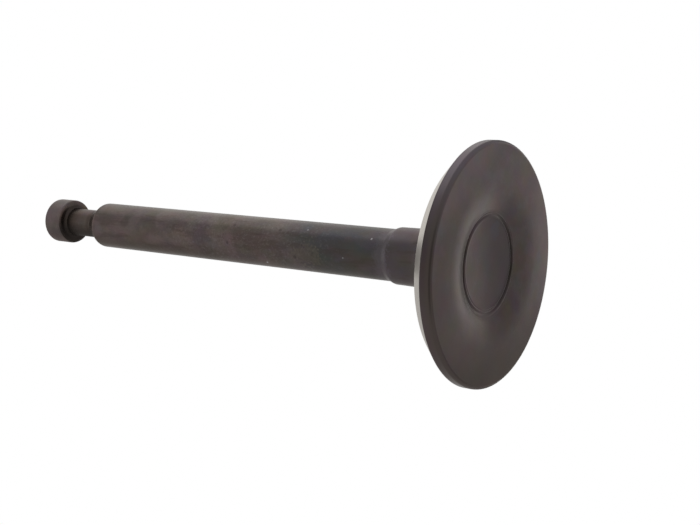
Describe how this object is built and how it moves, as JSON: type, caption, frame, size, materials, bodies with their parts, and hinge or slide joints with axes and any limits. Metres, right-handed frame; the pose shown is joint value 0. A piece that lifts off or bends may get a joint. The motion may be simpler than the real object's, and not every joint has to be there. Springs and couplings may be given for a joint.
{
  "type": "engine valve",
  "caption": "Poppet valve of a small engine: flat head with a dished face, ground seat, long stem and a keeper groove below the tip.",
  "frame": {"origin": "centre of the combustion face, in the plane of its flat rim, which the valve stands on", "axes": "+Z along the valve's axis, from the head to the tip; the valve is round about Z, so X and Y are free"},
  "size_m": [0.0246, 0.0246, 0.064],
  "materials": {
    "nitrided_steel": "dark nitrided steel, satin, with a bright ground seat and a bright ground tip"
  },
  "bodies": {
    "root": {"engine_valve": "nitrided_steel"}
  },
  "joints": []
}
